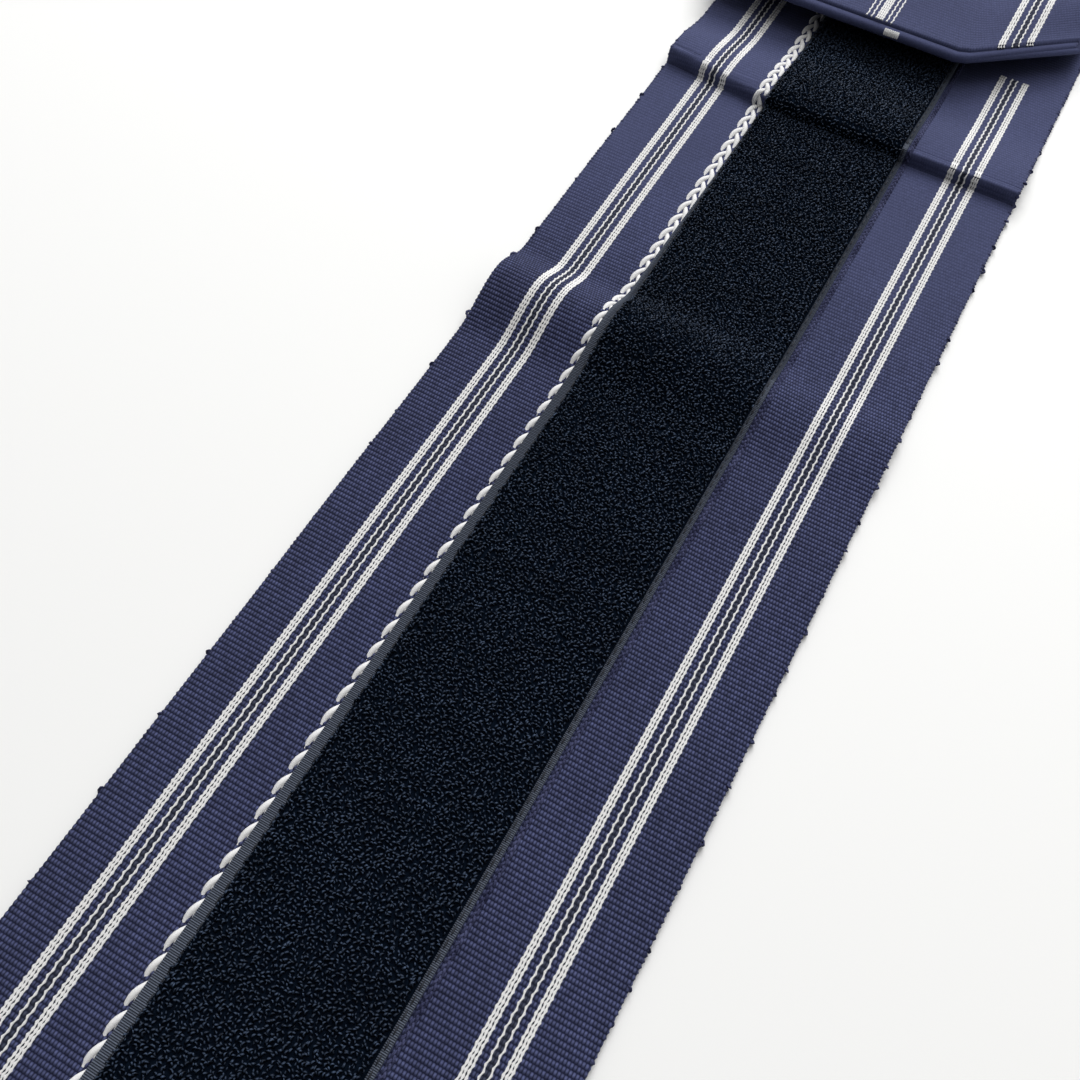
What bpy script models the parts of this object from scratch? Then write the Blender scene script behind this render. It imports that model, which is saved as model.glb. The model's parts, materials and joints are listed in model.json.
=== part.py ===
"""Wide woven gait belt with a sewn-on loop tape, lying face up with one pleat in it.

The belt runs along Y and lies on the plane Z = 0. Each panel between two creases is a piece
of its own, hung on an empty that stands on the crease it turns about.
"""
import math

import bmesh
import bpy
from mathutils import Vector

# Driving dimensions, in metres
BAND_WIDTH = 0.096
BAND_THICKNESS = 0.0012
PLY_GAP = 0.0003                 # between cloths that touch
HEM_LENGTH = 0.014               # turned under at both ends of the band

TAPE_WIDTH = 0.040
TAPE_MIDDLE = -0.0009            # the tape sits a little left of the band's centre line
TAPE_BASE = 0.0008               # ground cloth of the loop tape, bare along its two selvedges
PILE_HEIGHT = 0.0020             # ground cloth and loops together
LEFT_SELVEDGE = 0.0024
RIGHT_SELVEDGE = 0.0014
PILE_INSET = 0.0004              # pile back from the ground cloth's edge at a crease
BARE_END = 0.0020                # and at the tape's sewn ends, where the seam flattens it

HOOK_WIDTH = 0.040
HOOK_LENGTH = 0.082
HOOK_THICKNESS = 0.0018

THREAD = 0.0005                  # diameter of the sewing thread
SEAM_INSET = 0.0009              # seam to the edge of what it holds down

# Stations along the belt
NEAR_END = -0.480
TAPE_START = -0.450
SOFT_FOOT, SOFT_CREST, SOFT_HEEL = -0.036, -0.017, -0.0075
STRONG_FOOT, STRONG_CREST, STRONG_HEEL = 0.0625, 0.072, 0.092
TAPE_END = 0.121
FAR_FOLD = 0.160
LIP = 0.102
HOOK_CREASE = 0.375
FAR_END = 0.480

# Heights of the band's middle surface
FLOOR = BAND_THICKNESS / 2
SECOND_PLY = FLOOR + BAND_THICKNESS + PLY_GAP
SOFT_HEIGHT = FLOOR + 0.0047
STRONG_HEIGHT = FLOOR + 0.0043
LIP_UNDER = 0.0080
LIP_OVER = LIP_UNDER + BAND_THICKNESS + PLY_GAP
HUMP = 0.0105
HOOK_HEIGHT = HOOK_THICKNESS + PLY_GAP + FLOOR

# What is left out at a crease, so that a panel can turn up or down past its neighbour
BAND_BACK, BAND_FRONT = 0.0012, 0.0005
TAPE_BACK, TAPE_FRONT = 0.0012, 0.0034
FOLD_BACK = 0.0003

# The pleat's lip runs square across the belt, then slants back over the right-hand stripes
SLANT_START = Vector((0.018, LIP, 0))
SLANT_END = Vector((0.048, LIP + 0.026, 0))

for old in list(bpy.data.objects):
    bpy.data.objects.remove(old, do_unlink=True)

belt = bpy.data.collections.new("gait_belt")
cutters = bpy.data.collections.new("cutters")
bpy.context.scene.collection.children.link(belt)
bpy.context.scene.collection.children.link(cutters)


def finish(name, colour, roughness):
    material = bpy.data.materials.new(name)
    material.use_nodes = True
    shader = material.node_tree.nodes["Principled BSDF"]
    shader.inputs["Base Color"].default_value = (*colour, 1)
    shader.inputs["Roughness"].default_value = roughness
    shader.inputs["Metallic"].default_value = 0
    return material


woven = finish("woven_band", (0.055, 0.055, 0.135), 0.85)
loops = finish("loop_tape", (0.010, 0.014, 0.022), 0.95)
hooks = finish("hook_tape", (0.012, 0.015, 0.022), 0.6)
thread = finish("sewing_thread", (0.03, 0.035, 0.06), 0.7)


def crease(name, y, z, parent=None):
    """An empty on a crease's axis, which the panels beyond the crease hang on."""
    axis = bpy.data.objects.new(name, None)
    belt.objects.link(axis)
    axis["at"] = (0.0, y, z)
    axis.location = (0, y, z)
    if parent:
        axis.parent = parent
        axis.location -= Vector(parent["at"])
    return axis


def eased(start, end, steps=7):
    """Points from start to end that leave and arrive level."""
    path = []
    for i in range(1, steps + 1):
        t = i / steps
        rise = (1 - math.cos(math.pi * t)) / 2
        path.append((start[0] + (end[0] - start[0]) * t, start[1] + (end[1] - start[1]) * rise))
    return path


def trimmed(path, at_start=0.0, at_end=0.0):
    """The path without a length at each end."""
    points = [Vector(p) for p in path]
    for length in (at_start, at_end):
        while length > 0:
            step = points[1] - points[0]
            if step.length > length:
                points[0] = points[0] + step.normalized() * length
                break
            length -= step.length
            points.pop(0)
        points.reverse()
    return points


def lifted(path, height):
    """The path moved off its own line, to the side that faces up where it runs along +Y."""
    points = [Vector(p) for p in path]
    moved = []
    for i, point in enumerate(points):
        along = (points[min(i + 1, len(points) - 1)] - points[max(i - 1, 0)]).normalized()
        moved.append(point + Vector((-along.y, along.x)) * height)
    return moved


def sheet(name, path, width, thickness, material, axis=None, middle=0.0, slanted=False, helper=False):
    """A flat cloth: its path along the belt, pulled out across it and given its thickness."""
    at = Vector(axis["at"]) if axis else Vector((0, 0, 0))
    bm = bmesh.new()
    edge = [bm.verts.new((middle - width / 2, p[0], p[1])) for p in path]
    lines = [bm.edges.new(pair) for pair in zip(edge, edge[1:])]
    pulled = bmesh.ops.extrude_edge_only(bm, edges=lines)["geom"]
    across = [v for v in pulled if isinstance(v, bmesh.types.BMVert)]
    bmesh.ops.translate(bm, verts=across, vec=(width, 0, 0))
    if slanted:
        side = (SLANT_END - SLANT_START).cross(Vector((0, 0, 1)))
        everything = bm.verts[:] + bm.edges[:] + bm.faces[:]
        bmesh.ops.bisect_plane(bm, geom=everything, plane_co=SLANT_START, plane_no=side,
                               clear_outer=True)
    bmesh.ops.translate(bm, verts=bm.verts[:], vec=-at)
    mesh = bpy.data.meshes.new(name)
    bm.to_mesh(mesh)
    bm.free()
    mesh.materials.append(material)
    piece = bpy.data.objects.new(name, mesh)
    piece.parent = axis
    (cutters if helper else belt).objects.link(piece)
    if helper:
        piece.hide_render = True
        piece.display_type = "WIRE"
    wall = piece.modifiers.new("thickness", "SOLIDIFY")
    wall.thickness = thickness
    wall.offset = 0
    wall.use_even_offset = True
    return piece


def loop_tape(name, path, axis=None, bare_start=PILE_INSET, bare_end=PILE_INSET):
    """Loop tape: a ground cloth with a thicker pile between its two bare selvedges."""
    base_lift = BAND_THICKNESS / 2 + PLY_GAP + TAPE_BASE / 2
    base = sheet(name, lifted(path, base_lift), TAPE_WIDTH, TAPE_BASE, loops, axis, TAPE_MIDDLE)
    pile_thickness = PILE_HEIGHT - TAPE_BASE / 2
    pile_lift = base_lift + pile_thickness / 2
    pile_path = trimmed(lifted(path, pile_lift), bare_start, bare_end)
    pile_middle = TAPE_MIDDLE + (LEFT_SELVEDGE - RIGHT_SELVEDGE) / 2
    pile_width = TAPE_WIDTH - LEFT_SELVEDGE - RIGHT_SELVEDGE
    pile = sheet(name + "_pile", pile_path, pile_width, pile_thickness, loops, axis, pile_middle,
                 helper=True)
    join = base.modifiers.new("pile", "BOOLEAN")
    join.operation = "UNION"
    join.object = pile
    return base


def seam(name, points, axis=None, closed=False):
    """A row of lockstitch, as one run of its thread."""
    at = Vector(axis["at"]) if axis else Vector((0, 0, 0))
    curve = bpy.data.curves.new(name, "CURVE")
    curve.dimensions = "3D"
    curve.bevel_depth = THREAD / 2
    curve.bevel_resolution = 1
    curve.use_fill_caps = not closed
    row = curve.splines.new("POLY")
    row.points.add(len(points) - 1)
    for knot, point in zip(row.points, points):
        knot.co = (*(Vector(point) - at), 1)
    row.use_cyclic_u = closed
    curve.materials.append(thread)
    piece = bpy.data.objects.new(name, curve)
    piece.parent = axis
    belt.objects.link(piece)
    return piece


TAPE_LEFT_SEAM = TAPE_MIDDLE - TAPE_WIDTH / 2 + SEAM_INSET
TAPE_RIGHT_SEAM = TAPE_MIDDLE + TAPE_WIDTH / 2 - SEAM_INSET / 2
ON_TAPE = BAND_THICKNESS / 2 + TAPE_BASE + THREAD / 2 + 2 * PLY_GAP
ON_BAND = BAND_THICKNESS / 2 + THREAD / 2 + PLY_GAP


def tape_seams(panel, path, axis=None):
    """The two rows that hold the tape's selvedges down along one panel."""
    for side, x in (("left", TAPE_LEFT_SEAM), ("right", TAPE_RIGHT_SEAM)):
        row = [(x, *p) for p in lifted(path, ON_TAPE)]
        seam(f"tape_seam_{side}_{panel}", row, axis)


def turned_hem(end, upper, inward):
    """The band's end turned under: raw edge first, round the fold, then out along the top."""
    radius = (BAND_THICKNESS + PLY_GAP) / 2
    fold = end + inward * (radius + BAND_THICKNESS / 2)
    path = [(end + inward * HEM_LENGTH, upper - 2 * radius)]
    for i in range(7):
        turn = math.pi * i / 6
        path.append((fold - inward * radius * math.sin(turn), upper - radius - radius * math.cos(turn)))
    path.append((end + inward * (HEM_LENGTH + 0.002), upper))
    return path


# Axes of the creases, each on the middle surface or between the two plies that fold there
soft_axis = crease("soft_crease_axis", SOFT_CREST, SOFT_HEIGHT)
strong_axis = crease("strong_crease_axis", STRONG_CREST, STRONG_HEIGHT)
fold_axis = crease("far_fold_axis", FAR_FOLD, (FLOOR + SECOND_PLY) / 2, strong_axis)
lip_axis = crease("lip_axis", LIP, (LIP_UNDER + LIP_OVER) / 2, fold_axis)
hook_axis = crease("hook_crease_axis", HOOK_CREASE, HOOK_HEIGHT, lip_axis)

# Middle panel: the level stretch between the two creases
middle_line = [(SOFT_CREST, SOFT_HEIGHT)]
middle_line += eased(middle_line[-1], (SOFT_HEEL, FLOOR)) + [(STRONG_FOOT, FLOOR)]
middle_line += eased(middle_line[-1], (STRONG_CREST, STRONG_HEIGHT))
sheet("band_middle", trimmed(middle_line, BAND_BACK, BAND_BACK), BAND_WIDTH, BAND_THICKNESS, woven)
middle_tape = trimmed(middle_line, TAPE_BACK, TAPE_BACK)
loop_tape("loop_tape_middle", middle_tape)
tape_seams("middle", middle_tape)

# Near run: from the turned hem up to the soft crease
to_soft_crease = [(SOFT_FOOT, FLOOR)] + eased((SOFT_FOOT, FLOOR), (SOFT_CREST, SOFT_HEIGHT))
near_hem = turned_hem(NEAR_END, SECOND_PLY, 1)
near_line = near_hem + eased(near_hem[-1], (NEAR_END + HEM_LENGTH + 0.014, FLOOR)) + to_soft_crease
sheet("band_near_run", trimmed(near_line, 0, BAND_FRONT), BAND_WIDTH, BAND_THICKNESS, woven, soft_axis)
near_tape = trimmed([(TAPE_START, FLOOR)] + to_soft_crease, 0, TAPE_FRONT)
loop_tape("loop_tape_near", near_tape, soft_axis, bare_start=BARE_END)
tape_seams("near", trimmed(near_tape, 2 * SEAM_INSET), soft_axis)

# Far panel: from the strong crease to the fold hidden under the pleat
from_strong_crease = [(STRONG_CREST, STRONG_HEIGHT)]
from_strong_crease += eased((STRONG_CREST, STRONG_HEIGHT), (STRONG_HEEL, FLOOR))
far_line = trimmed(from_strong_crease + [(FAR_FOLD, FLOOR)], BAND_FRONT, FOLD_BACK)
sheet("band_far_panel", far_line, BAND_WIDTH, BAND_THICKNESS, woven, strong_axis)
far_tape = trimmed(from_strong_crease + [(TAPE_END, FLOOR)], TAPE_FRONT)
loop_tape("loop_tape_far", far_tape, strong_axis, bare_end=BARE_END)
tape_seams("far", trimmed(far_tape, 0, 2 * SEAM_INSET), strong_axis)

# Pleat: the ply that runs back over the far panel, face down, to the lip
pleat_line = [(FAR_FOLD, SECOND_PLY), (FAR_FOLD - 0.004, SECOND_PLY)]
pleat_line += eased(pleat_line[-1], (LIP, LIP_UNDER), 10)
pleat_line = trimmed(pleat_line, FOLD_BACK, FOLD_BACK)
sheet("band_pleat_ply", pleat_line, BAND_WIDTH, BAND_THICKNESS, woven, fold_axis, slanted=True)

# Far run: away again over the pleat, down to the floor and up onto the hook tape
run_line = [(LIP, LIP_OVER)] + eased((LIP, LIP_OVER), (LIP + 0.022, HUMP), 4)
run_line += eased(run_line[-1], (FAR_FOLD + 0.055, FLOOR), 12)
run_line += [(HOOK_CREASE - 0.015, FLOOR)] + eased((HOOK_CREASE - 0.015, FLOOR), (HOOK_CREASE, HOOK_HEIGHT))
run_line = trimmed(run_line, FOLD_BACK, BAND_BACK)
sheet("band_far_run", run_line, BAND_WIDTH, BAND_THICKNESS, woven, lip_axis, slanted=True)

# Hook end: the stiff end that closes the belt, its hook tape on the back
hook_hem = turned_hem(FAR_END, HOOK_HEIGHT, -1)
hook_line = [(HOOK_CREASE + BAND_FRONT, HOOK_HEIGHT)] + hook_hem[::-1]
sheet("band_hook_end", hook_line, BAND_WIDTH, BAND_THICKNESS, woven, hook_axis)
hook_start = HOOK_CREASE + 0.004
hook_stop = hook_start + HOOK_LENGTH
hook_path = [(hook_start, HOOK_THICKNESS / 2), (hook_stop, HOOK_THICKNESS / 2)]
sheet("hook_tape", hook_path, HOOK_WIDTH, HOOK_THICKNESS, hooks, hook_axis)

# Seams across the belt and round the hook tape
half_tape = TAPE_WIDTH / 2 - 2 * SEAM_INSET
half_band = BAND_WIDTH / 2 - 2 * SEAM_INSET
half_hook = HOOK_WIDTH / 2 - SEAM_INSET


def cross_seam(name, y, z, reach, middle, axis):
    seam(name, [(middle - reach, y, z), (middle + reach, y, z)], axis)


tape_row = FLOOR + ON_TAPE
cross_seam("tape_end_seam_near", TAPE_START + SEAM_INSET, tape_row, half_tape, TAPE_MIDDLE, soft_axis)
cross_seam("tape_end_seam_far", TAPE_END - SEAM_INSET, tape_row, half_tape, TAPE_MIDDLE, strong_axis)
hem_row = HEM_LENGTH - 2 * SEAM_INSET
cross_seam("hem_seam_near", NEAR_END + hem_row, SECOND_PLY + ON_BAND, half_band, 0, soft_axis)
cross_seam("hem_seam_far", FAR_END - hem_row, HOOK_HEIGHT + ON_BAND, half_band, 0, hook_axis)
box_height = HOOK_HEIGHT + ON_BAND
near_row = hook_start + SEAM_INSET
far_row = hook_stop - SEAM_INSET
seam("hook_tape_seam",
     [(-half_hook, near_row, box_height), (half_hook, near_row, box_height),
      (half_hook, far_row, box_height), (-half_hook, far_row, box_height)],
     hook_axis, closed=True)
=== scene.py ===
"""A wide woven gait belt, laid face up with a soft crease, a sharp crease and a folded pleat.

Everything is in metres. The belt runs along Y and lies on Z = 0. u is a place across the
cloth from its centre line, and along is the length of cloth from the near end.
"""
import json
import math

import bpy
import numpy as np
from mathutils import Matrix, Vector


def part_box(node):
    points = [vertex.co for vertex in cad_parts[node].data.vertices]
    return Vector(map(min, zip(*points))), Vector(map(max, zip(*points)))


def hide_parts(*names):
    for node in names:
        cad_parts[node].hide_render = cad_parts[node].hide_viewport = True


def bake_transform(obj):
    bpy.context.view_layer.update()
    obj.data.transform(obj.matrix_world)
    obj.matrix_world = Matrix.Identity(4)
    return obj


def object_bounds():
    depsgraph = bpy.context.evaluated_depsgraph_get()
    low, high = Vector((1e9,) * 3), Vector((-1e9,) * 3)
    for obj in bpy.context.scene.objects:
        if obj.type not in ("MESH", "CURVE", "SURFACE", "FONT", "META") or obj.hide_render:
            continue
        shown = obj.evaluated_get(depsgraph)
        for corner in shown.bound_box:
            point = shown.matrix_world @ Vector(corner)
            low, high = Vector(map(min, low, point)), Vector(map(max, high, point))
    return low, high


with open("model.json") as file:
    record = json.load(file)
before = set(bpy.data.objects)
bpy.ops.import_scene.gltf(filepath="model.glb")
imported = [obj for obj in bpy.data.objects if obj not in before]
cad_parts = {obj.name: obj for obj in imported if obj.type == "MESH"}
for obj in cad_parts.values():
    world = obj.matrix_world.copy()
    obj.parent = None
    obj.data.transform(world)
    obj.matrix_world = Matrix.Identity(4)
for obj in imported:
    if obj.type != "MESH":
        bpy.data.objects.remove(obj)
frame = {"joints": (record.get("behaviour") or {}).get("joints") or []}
cad_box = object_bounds()
scene = bpy.context.scene

# ------------------------------------------------------------------ camera, light and floor
# Seen from the near right, close above the cloth, with the belt running away to the upper
# right. A pale floor, a big soft light from behind the belt, and an even pale room.
lens = bpy.data.cameras.new("camera")
lens.lens = 41.7
lens.clip_start = 0.01
camera = bpy.data.objects.new("camera", lens)
scene.collection.objects.link(camera)
camera_right = Vector((0.8764, 0.4796, 0.0425))
camera_up = Vector((-0.4288, 0.7373, 0.5220))
turned = Matrix((camera_right, camera_up, camera_right.cross(camera_up))).transposed().to_4x4()
camera.matrix_world = Matrix.Translation((0.0485, -0.1944, 0.2139)) @ turned
scene.camera = camera
scene.view_settings.view_transform = "Standard"
scene.view_settings.look = "None"


def soft_light(name, place, aim, size, watts):
    panel = bpy.data.lights.new(name, "AREA")
    panel.shape = "RECTANGLE"
    panel.size, panel.size_y = size
    panel.energy = watts
    light = bpy.data.objects.new(name, panel)
    scene.collection.objects.link(light)
    light.location = place
    light.rotation_euler = (Vector(aim) - Vector(place)).to_track_quat("-Z", "Y").to_euler()


soft_light("back_light", (-0.2, 1.15, 0.85), (0, 0.05, 0), (1.0, 0.7), 17)
soft_light("top_light", (0.1, 0.5, 1.2), (0, 0, 0), (1.1, 1.1), 7)

room = bpy.data.worlds.new("pale_room")
room.use_nodes = True
scene.world = room

air = room.node_tree
way = air.nodes.new("ShaderNodeSeparateXYZ")
air.links.new(air.nodes.new("ShaderNodeTexCoord").outputs["Generated"], way.inputs[0])
paler_behind = air.nodes.new("ShaderNodeMapRange")
air.links.new(way.outputs["Y"], paler_behind.inputs["Value"])
for label, value in (("From Min", -0.9), ("From Max", 0.9), ("To Min", 0.04), ("To Max", 0.82)):
    paler_behind.inputs[label].default_value = value
air.links.new(paler_behind.outputs[0], air.nodes["Background"].inputs["Strength"])
air.nodes["Background"].inputs["Color"].default_value = (1, 1, 1, 1)

bpy.ops.mesh.primitive_plane_add(size=6, location=(0, 0, -0.0001))
floor = bpy.context.object
floor.name = "floor"
pale = bpy.data.materials.new("pale_floor")
pale.use_nodes = True
pale.node_tree.nodes["Principled BSDF"].inputs["Base Color"].default_value = (0.85, 0.85, 0.84, 1)
pale.node_tree.nodes["Principled BSDF"].inputs["Roughness"].default_value = 0.8
floor.data.materials.append(pale)

# --------------------------------------------------------------------------- woven band
# One length of warp-faced ribbed cotton: thick wefts under a close navy warp, so that the ribs
# run across it. Both ends are turned under. It is made here in five lengths that meet inside
# flat panels, each of them bending across one crease.
BAND_WIDTH = 0.096
RIB = 0.00107                     # from one weft to the next
RIB_RISE = 0.00013
BODY = 0.00094                    # thickness of the cloth in the valleys between ribs
HALF = 0.0006                     # from the middle of the cloth to the tops of the ribs
ROWS_PER_RIB = 5
PLY = 0.0015                      # from the middle of one ply to the middle of the next
HEM = 0.014
STATIONS = np.array([-48, -47.4, -46, -40, -30, -20, -10, 0, 10, 17, 22, 25, 29, 34, 38, 42,
                     46, 47.4, 48]) / 1000
MIDDLE_STATION = 7

near_end, far_end = cad_box[0][1], cad_box[1][1]
axis_of = {joint["name"]: Vector(joint["pos_m"]) for joint in frame["joints"]}
soft, strong = axis_of["soft_crease"], axis_of["strong_crease"]
fold, lip, hook = axis_of["pleat_open"], axis_of["far_run_level"], axis_of["hook_lift"]
PLEAT_MIDDLE = (fold.y + lip.y) / 2
PLEAT_CALM = 0.030                # the cloth lies flat this far to each side of the pleat's middle
CALM_ENDS_OVER = 0.02


def eased(start, end, steps=24):
    """The points of a path from start to end that leaves and arrives level."""
    path = []
    for i in range(1, steps + 1):
        t = i / steps
        rise = (1 - math.cos(math.pi * t)) / 2
        path.append((start[0] + (end[0] - start[0]) * t, start[1] + (end[1] - start[1]) * rise))
    return path


def turned_under(end, upper, inward):
    """A hem as a path: the raw edge, round the fold, and a little way back along the top."""
    radius = PLY / 2
    centre = end + inward * (radius + HALF)
    path = [(end + inward * HEM, upper - PLY)]
    for i in range(13):
        turn = math.pi * i / 12
        path.append((centre - inward * radius * math.sin(turn), upper - radius - radius * math.cos(turn)))
    path.append((end + inward * (HEM + 0.002), upper))
    return path


def evenly(path, rows):
    """The path resampled to that many points, equally far apart."""
    path = np.array(path)
    length = np.concatenate([[0], np.cumsum(np.linalg.norm(np.diff(path, axis=0), axis=1))])
    at = np.linspace(0, length[-1], rows)
    return np.stack([np.interp(at, length, path[:, k]) for k in (0, 1)], 1)


def whole_ribs(path):
    return round(np.linalg.norm(np.diff(np.array(path), axis=0), axis=1).sum() / RIB)


def ripple(x, y):
    """How far the lying cloth stands off the floor: low, wide swells that grow towards the edges,
    and none in the pleat, whose plies lie close."""
    swell = np.sin(y * 71 + 1.3) * np.sin(y * 29 + x * 18) + 0.6 * np.sin(y * 113 + x * 40)
    edge = np.clip(np.abs(x) / (BAND_WIDTH / 2), 0, 1) ** 3
    free = np.clip((np.abs(y - PLEAT_MIDDLE) - PLEAT_CALM) / CALM_ENDS_OVER, 0, 1)
    return 0.00022 * (1 + 0.6 * swell) * (0.3 + edge) * free


def laid(start, sway, *sections):
    """A length of cloth whose first place along is start. A section has one path for the whole
    width or one for each station, and takes the number of ribs that its first path has room for."""
    grids = []
    for paths in sections:
        paths = [paths] * len(STATIONS) if isinstance(paths[0], tuple) else paths
        rows = whole_ribs(paths[0]) * ROWS_PER_RIB + 1
        grid = np.stack([evenly(path, rows) for path in paths], 1)
        grids.append(grid if not grids else grid[1:])
    y, z = np.moveaxis(np.concatenate(grids), 2, 0)
    x = STATIONS + sway(y)
    along = start + np.arange(len(y)) * RIB / ROWS_PER_RIB
    return {"along": along, "grid": np.stack([x, y, z + ripple(x, y)], 2)}


def facing(cloth):
    """The outward direction on the cloth's face, at each point of its grid."""
    out = np.cross(np.gradient(cloth["grid"], axis=1), np.gradient(cloth["grid"], axis=0))
    return out / np.linalg.norm(out, axis=2, keepdims=True)


def eased_facing(cloth, reach=9):
    """The facing averaged over reach rows to each side, twice, for thick layers on tight bends."""
    out = cloth["facing"]
    for turn in range(2):
        padded = np.concatenate([out[:1]] * reach + [out] + [out[-1:]] * reach)
        sums = np.cumsum(np.concatenate([0 * padded[:1], padded]), axis=0)
        out = sums[2 * reach + 1:] - sums[:-2 * reach - 1]
    return out / np.linalg.norm(out, axis=2, keepdims=True)


def on_cloth(cloth, along, u, lift=0.0, facing="facing"):
    """Points that stand lift above places on the cloth, and the outward directions there."""
    row = (along - cloth["along"][0]) / (cloth["along"][1] - cloth["along"][0])
    column = np.interp(u, STATIONS, np.arange(len(STATIONS)))
    low = np.clip(row.astype(int), 0, len(cloth["along"]) - 2)
    left = np.clip(column.astype(int), 0, len(STATIONS) - 2)
    down, over = (row - low)[..., None], (column - left)[..., None]
    found = []
    for values in (cloth["grid"], cloth[facing]):
        top = values[low, left] * (1 - over) + values[low, left + 1] * over
        bottom = values[low + 1, left] * (1 - over) + values[low + 1, left + 1] * over
        found.append(top * (1 - down) + bottom * down)
    out = found[1] / np.linalg.norm(found[1], axis=-1, keepdims=True)
    return found[0] + out * np.asarray(lift)[..., None], out


def as_piece(name, points, edges, faces, **fields):
    """A mesh piece whose points carry the named fields."""
    mesh = bpy.data.meshes.new(name)
    mesh.from_pydata(points.tolist(), edges, faces)
    for label, values in fields.items():
        kind = "FLOAT" if values.ndim == 1 else "FLOAT_VECTOR"
        entry = "value" if values.ndim == 1 else "vector"
        mesh.attributes.new(label, kind, "POINT").data.foreach_set(entry, values.astype(np.float32).ravel())
    piece = bpy.data.objects.new(name, mesh)
    scene.collection.objects.link(piece)
    return piece


def slab(name, upper, lower, place, **fields):
    """A closed slab between two grids of points, with its place across and along as a UV map."""
    rows, columns = upper.shape[:2]
    index = np.arange(rows * columns).reshape(rows, columns)
    quad = np.stack([index[:-1, :-1], index[:-1, 1:], index[1:, 1:], index[1:, :-1]], 2).reshape(-1, 4)
    rim = np.concatenate([index[0, :-1], index[:-1, -1], index[-1, :0:-1], index[:0:-1, 0]])
    rim = np.append(rim, rim[0])
    under = rows * columns
    wall = np.stack([rim[1:], rim[:-1], rim[:-1] + under, rim[1:] + under], 1)
    faces = np.concatenate([quad, quad[:, ::-1] + under, wall])
    points = np.concatenate([upper.reshape(-1, 3), lower.reshape(-1, 3)])
    fields = {label: np.concatenate([f.ravel() for f in pair]) for label, pair in fields.items()}
    place = np.tile(place.reshape(-1, 2), (2, 1))
    piece = as_piece(name, points, [], faces.tolist(), along=place[:, 1], **fields)
    uv = piece.data.uv_layers.new(name="weave").data
    uv.foreach_set("uv", place[faces.ravel()].astype(np.float32).ravel())
    return piece


def new_tree(name, **inputs):
    """An empty geometry tree with named inputs, and its input and output nodes."""
    tree = bpy.data.node_groups.new(name, "GeometryNodeTree")
    tree.interface.new_socket("Geometry", in_out="INPUT", socket_type="NodeSocketGeometry")
    for label, kind in inputs.items():
        tree.interface.new_socket(label, in_out="INPUT", socket_type="NodeSocket" + kind)
    tree.interface.new_socket("Geometry", in_out="OUTPUT", socket_type="NodeSocketGeometry")
    return tree, tree.nodes.new("NodeGroupInput").outputs, tree.nodes.new("NodeGroupOutput").inputs


def put(tree, kind, settings=None, **inputs):
    """A node with each input given as a value or as the socket that feeds it; _2 is the third."""
    made = tree.nodes.new(kind)
    for label, value in (settings or {}).items():
        setattr(made, label, value)
    for label, value in inputs.items():
        socket = made.inputs[int(label[1:])] if label[0] == "_" else made.inputs[label.replace("_", " ")]
        if isinstance(value, bpy.types.NodeSocket):
            tree.links.new(value, socket)
        else:
            socket.default_value = value
    return made


def maths(tree, operation, a, b=0.0, c=0.0):
    return put(tree, "ShaderNodeMath", {"operation": operation}, _0=a, _1=b, _2=c).outputs[0]


def scaled(tree, vector, factor):
    return put(tree, "ShaderNodeVectorMath", {"operation": "SCALE"}, _0=vector, Scale=factor).outputs[0]


def added(tree, a, b):
    return put(tree, "ShaderNodeVectorMath", {"operation": "ADD"}, _0=a, _1=b).outputs[0]


def field(tree, label, kind="FLOAT"):
    return put(tree, "GeometryNodeInputNamedAttribute", {"data_type": kind}, Name=label).outputs[0]


def grown(piece, tree, **values):
    """The piece as the tree leaves it: a plain mesh under the same name, shaded smooth."""
    modifier = piece.modifiers.new(tree.name, "NODES")
    modifier.node_group = tree
    for item in tree.interface.items_tree:
        if item.in_out == "INPUT" and item.name in values:
            modifier[item.identifier] = values[item.name]
    name = piece.name
    reading = bpy.context.evaluated_depsgraph_get()
    mesh = bpy.data.meshes.new_from_object(piece.evaluated_get(reading), depsgraph=reading)
    bpy.data.objects.remove(piece, do_unlink=True)
    mesh.name = name
    mesh.shade_smooth()
    made = bpy.data.objects.new(name, mesh)
    scene.collection.objects.link(made)
    return made


ribs, given, result = new_tree("weft_ribs", Spacing="Float", Rise="Float", Material="Material")
phase = maths(ribs, "MULTIPLY", maths(ribs, "DIVIDE", field(ribs, "along"), given["Spacing"]), math.pi)
wave = maths(ribs, "MULTIPLY", maths(ribs, "ABSOLUTE", maths(ribs, "SINE", phase)), field(ribs, "crisp"))
outward = scaled(ribs, put(ribs, "GeometryNodeInputNormal").outputs[0],
                 maths(ribs, "MULTIPLY", wave, given["Rise"]))
raised = put(ribs, "GeometryNodeSetPosition", Geometry=given["Geometry"], Offset=outward)
dressed = put(ribs, "GeometryNodeSetMaterial", Geometry=raised.outputs[0], Material=given["Material"])
ribs.links.new(dressed.outputs[0], result[0])


def new_group(name, inputs, outputs):
    """An empty shader group with named number inputs and outputs."""
    group = bpy.data.node_groups.new(name, "ShaderNodeTree")
    for label in inputs:
        group.interface.new_socket(label, in_out="INPUT", socket_type="NodeSocketFloat")
    for label in outputs:
        group.interface.new_socket(label, in_out="OUTPUT", socket_type="NodeSocketFloat")
    return group, group.nodes.new("NodeGroupInput").outputs, group.nodes.new("NodeGroupOutput").inputs


def placed(tree, group, **inputs):
    made = tree.nodes.new("ShaderNodeGroup")
    made.node_tree = group
    for label, value in inputs.items():
        made.inputs[label].default_value = value
    return made.outputs


def blended(tree, factor, a, b, how="MIX"):
    made = put(tree, "ShaderNodeMix", {"data_type": "RGBA", "blend_type": how}, _0=factor, _6=a, _7=b)
    return made.outputs[2]


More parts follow.
